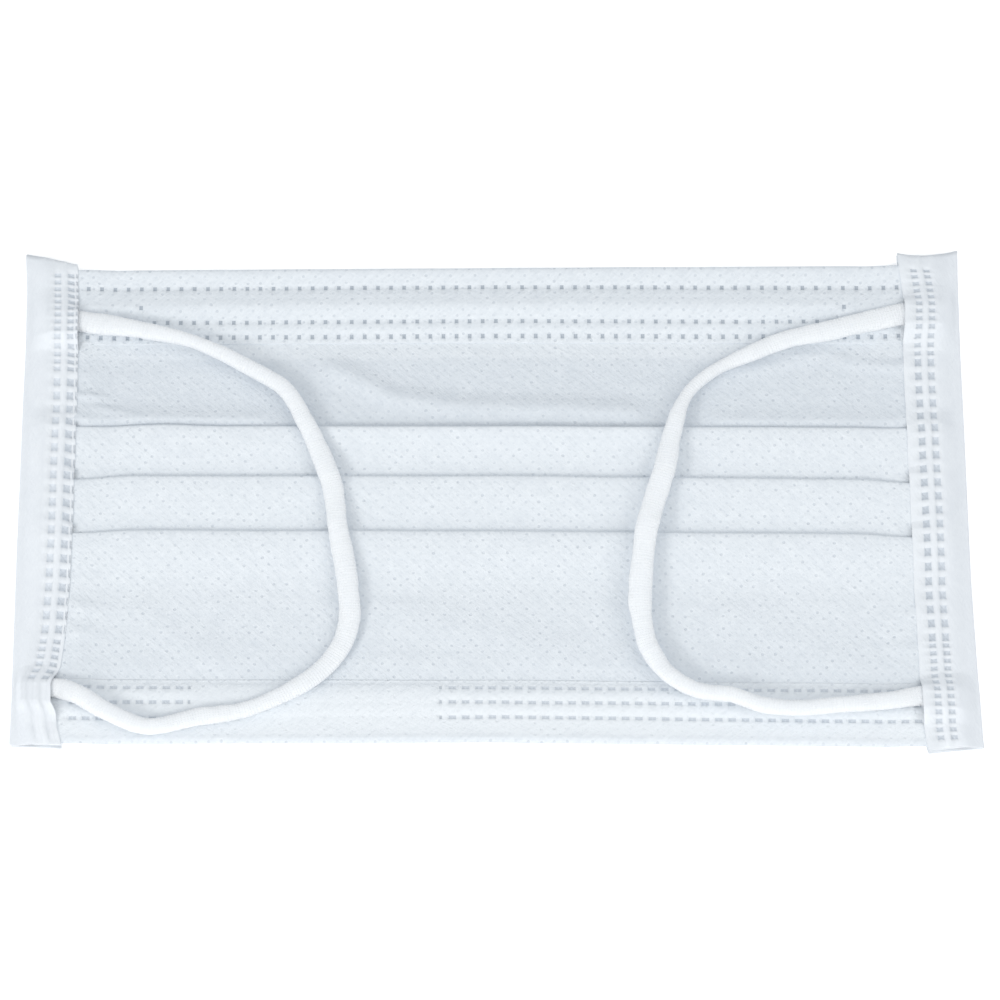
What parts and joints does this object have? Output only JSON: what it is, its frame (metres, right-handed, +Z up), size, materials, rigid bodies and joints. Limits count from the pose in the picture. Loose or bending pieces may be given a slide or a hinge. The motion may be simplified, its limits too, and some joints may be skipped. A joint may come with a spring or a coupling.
{
  "type": "surgical face mask",
  "caption": "Flat pleated disposable face mask lying inner side up, with a wired nose hem, welded side bindings and soft elastic ear loops.",
  "frame": {"origin": "centre of the mask's outline on the surface it lies on", "axes": "+X across the face to the right-hand binding, +Y to the nose edge, +Z up out of the inner side"},
  "size_m": [0.1754, 0.101, 0.0074],
  "materials": {
    "filter_cloth": "matte white spunbond nonwoven with a fine bonded dot pattern",
    "binding_cloth": "matte white thin nonwoven with ultrasonic weld marks",
    "loop_elastic": "soft matte white knitted elastic",
    "wire_plastic": "white plastic coat on a bendable wire"
  },
  "bodies": {
    "root": {"filter_body": "filter_cloth", "nose_wire": "wire_plastic", "left_binding": "binding_cloth", "right_binding": "binding_cloth", "left_ear_loop": "loop_elastic", "right_ear_loop": "loop_elastic"}
  },
  "joints": []
}
